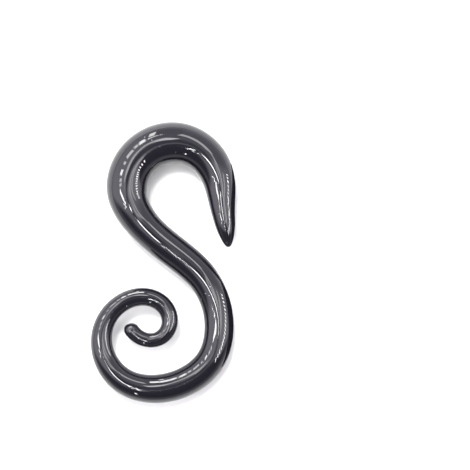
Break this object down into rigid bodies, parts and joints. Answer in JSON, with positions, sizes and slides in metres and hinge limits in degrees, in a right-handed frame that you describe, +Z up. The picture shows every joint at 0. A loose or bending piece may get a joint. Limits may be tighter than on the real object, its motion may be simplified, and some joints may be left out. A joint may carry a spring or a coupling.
{
  "type": "ear hanger taper",
  "caption": "S-shaped spiral ear hanger: a blunt point runs into a thick arched crown, then tapers down through a stem and loop to a small curl.",
  "frame": {"origin": "middle of the footprint, on the surface that the hanger lies on", "axes": "+Z up from the surface, +Y from the loop towards the top of the crown, +X towards the side that the point is on"},
  "size_m": [0.028, 0.0544, 0.0083],
  "materials": {
    "black_acrylic": "polished"
  },
  "bodies": {
    "root": {"taper_hanger": "black_acrylic"}
  },
  "joints": []
}
